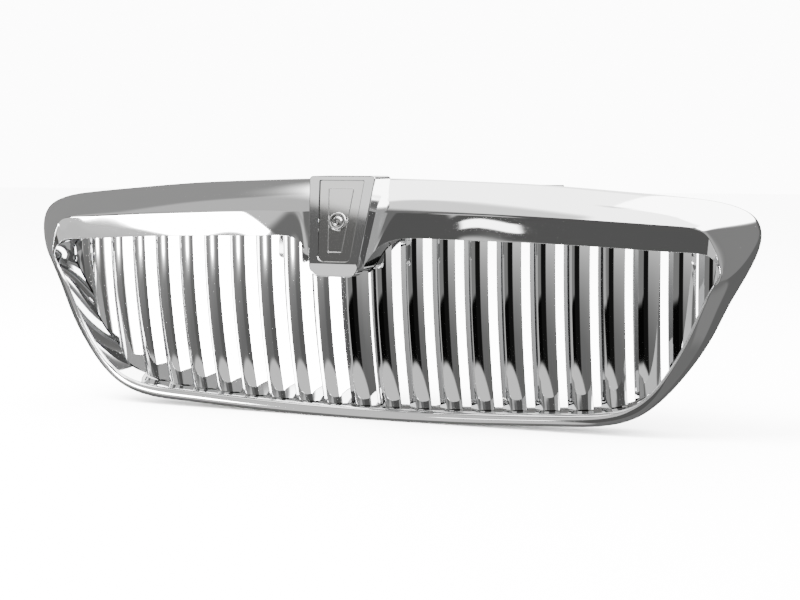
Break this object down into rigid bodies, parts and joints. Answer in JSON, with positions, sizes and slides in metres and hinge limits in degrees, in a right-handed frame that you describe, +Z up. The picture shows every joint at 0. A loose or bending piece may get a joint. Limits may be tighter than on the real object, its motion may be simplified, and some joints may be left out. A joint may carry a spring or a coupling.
{
  "type": "front grille",
  "caption": "Chromed front grille for a car: a one-piece surround with upright curved bars, a central badge housing, and hidden carriers, brackets and fixings.",
  "frame": {"origin": "middle of the upper line of bolt holes, on the top face of the steel strip along the top of the grille", "axes": "+X to the car's left as seen from the front (viewer's right), +Y rearwards into the car, +Z up"},
  "size_m": [0.9152, 0.165, 0.2903],
  "materials": {
    "chrome_plated": "bright chrome plate on moulded plastic",
    "bar_chrome": "bright chrome plate on moulded plastic",
    "tablet_satin": "slightly satin chrome",
    "trim_bright": "polished bright trim",
    "screw_steel": "polished steel, round head",
    "carrier_black": "grained black plastic",
    "zinc_screws": "zinc-plated steel",
    "bracket_steel": "black e-coated steel sheet",
    "spring_steel": "phosphated spring steel",
    "seal_rubber": "soft black rubber",
    "pin_nylon": "natural nylon"
  },
  "bodies": {
    "root": {"surround_frame": "chrome_plated", "bar_01": "bar_chrome", "bar_02": "bar_chrome", "bar_03": "bar_chrome", "bar_04": "bar_chrome", "bar_05": "bar_chrome", "bar_06": "bar_chrome", "bar_07": "bar_chrome", "bar_08": "bar_chrome", "bar_09": "bar_chrome", "bar_10": "bar_chrome", "bar_11": "bar_chrome", "bar_12": "bar_chrome", "bar_13": "bar_chrome", "bar_14": "bar_chrome", "bar_15": "bar_chrome", "bar_16": "bar_chrome", "bar_17": "bar_chrome", "bar_18": "bar_chrome", "bar_19": "bar_chrome", "bar_20": "bar_chrome", "bar_21": "bar_chrome", "bar_22": "bar_chrome", "bar_23": "bar_chrome", "emblem_pod": "chrome_plated", "emblem_tablet": "tablet_satin", "tablet_trim": "trim_bright", "badge_ring": "trim_bright", "badge_screw": "screw_steel", "upper_bar_carrier": "carrier_black", "lower_bar_carrier": "carrier_black", "carrier_screws_upper": "zinc_screws", "carrier_screws_lower": "zinc_screws", "pod_retainer": "bracket_steel", "pod_nuts": "spring_steel", "upper_mount_rail": "bracket_steel", "rail_screws": "zinc_screws", "speed_nuts": "spring_steel", "weather_seal": "seal_rubber", "mount_bracket_left": "bracket_steel", "mount_bracket_right": "bracket_steel", "bracket_screws": "zinc_screws", "lower_locating_pins": "pin_nylon", "rest_pads": "seal_rubber"}
  },
  "joints": []
}
